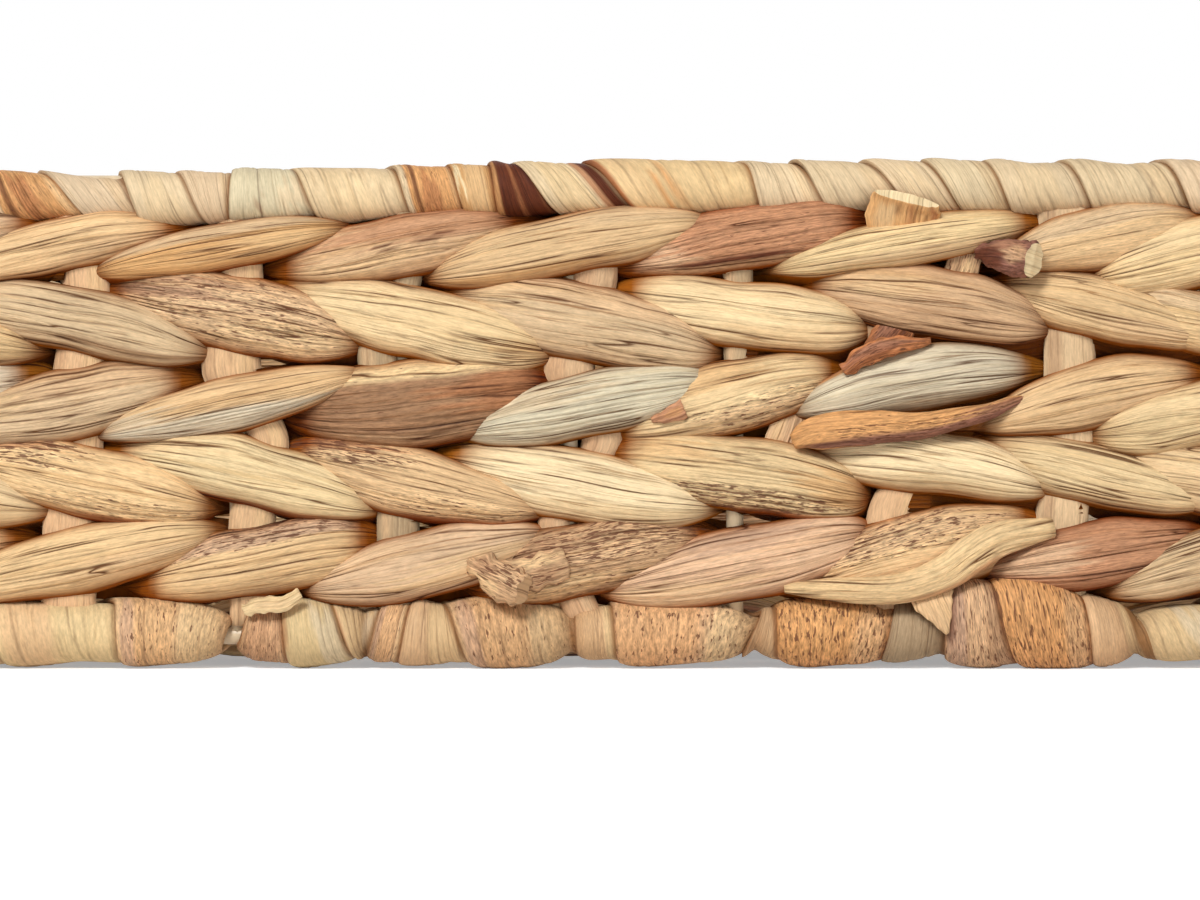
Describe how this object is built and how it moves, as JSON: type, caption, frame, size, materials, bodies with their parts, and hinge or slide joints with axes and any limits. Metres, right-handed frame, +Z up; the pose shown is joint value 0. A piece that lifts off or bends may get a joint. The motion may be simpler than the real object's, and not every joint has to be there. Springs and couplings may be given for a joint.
{
  "type": "woven cutlery tray",
  "caption": "Rectangular woven leaf cutlery tray on a welded wire frame, with a crosswise and lengthwise compartments, twined walls and lashed rims.",
  "frame": {"origin": "on the plane that the tray rests on, under the middle of the tray", "axes": "+Z up, +X along the long sides away from the crosswise compartment, +Y towards the back long wall; the wall in the picture is the front one, at -Y"},
  "size_m": [0.34, 0.24, 0.076],
  "materials": {
    "leaf_straw": "dried leaf, satin, finely creased along its length",
    "leaf_cream": "dried leaf, satin, pale and smooth",
    "leaf_tan": "dried leaf, satin, with dark flecks along the fibres",
    "leaf_russet": "dried leaf, matt, reddish brown",
    "leaf_sage": "dried leaf, satin, grey green",
    "rim_leaf_cream": "dried leaf, satin, wound tightly",
    "rim_leaf_tan": "dried leaf, satin, wound tightly, with dark flecks",
    "painted_wire": "cream powder coat, satin"
  },
  "bodies": {
    "root": {"wire_frame": "painted_wire", "wall_course_1_strand_a": "leaf_straw", "wall_course_1_strand_b": "leaf_tan", "wall_course_2_strand_a": "leaf_cream", "wall_course_2_strand_b": "leaf_straw", "wall_course_3_strand_a": "leaf_sage", "wall_course_3_strand_b": "leaf_tan", "wall_course_4_strand_a": "leaf_cream", "wall_course_4_strand_b": "leaf_straw", "wall_course_5_strand_a": "leaf_straw", "wall_course_5_strand_b": "leaf_russet", "bottom_rim_lashing_front": "rim_leaf_tan", "top_rim_lashing_front": "rim_leaf_cream", "bottom_rim_lashing_right": "rim_leaf_tan", "top_rim_lashing_right": "rim_leaf_cream", "bottom_rim_lashing_back": "rim_leaf_tan", "top_rim_lashing_back": "rim_leaf_cream", "bottom_rim_lashing_left": "rim_leaf_tan", "top_rim_lashing_left": "rim_leaf_cream", "base_strip_01": "leaf_tan", "base_strip_02": "leaf_cream", "base_strip_03": "leaf_straw", "base_strip_04": "leaf_tan", "base_strip_05": "leaf_cream", "base_strip_06": "leaf_straw", "base_strip_07": "leaf_tan", "base_strip_08": "leaf_cream", "base_strip_09": "leaf_straw", "base_strip_10": "leaf_tan", "base_strip_11": "leaf_cream", "base_strip_12": "leaf_straw", "base_strip_13": "leaf_tan", "base_strip_14": "leaf_cream", "cross_divider_comb": "painted_wire", "cross_divider_rim_lashing": "rim_leaf_cream", "cross_divider_strand_1": "leaf_cream", "cross_divider_strand_2": "leaf_sage", "cross_divider_strand_3": "leaf_straw", "cross_divider_strand_4": "leaf_tan", "long_divider_1_comb": "painted_wire", "long_divider_1_rim_lashing": "rim_leaf_cream", "long_divider_1_strand_1": "leaf_sage", "long_divider_1_strand_2": "leaf_straw", "long_divider_1_strand_3": "leaf_tan", "long_divider_1_strand_4": "leaf_cream", "long_divider_2_comb": "painted_wire", "long_divider_2_rim_lashing": "rim_leaf_cream", "long_divider_2_strand_1": "leaf_sage", "long_divider_2_strand_2": "leaf_straw", "long_divider_2_strand_3": "leaf_tan", "long_divider_2_strand_4": "leaf_cream"}
  },
  "joints": []
}
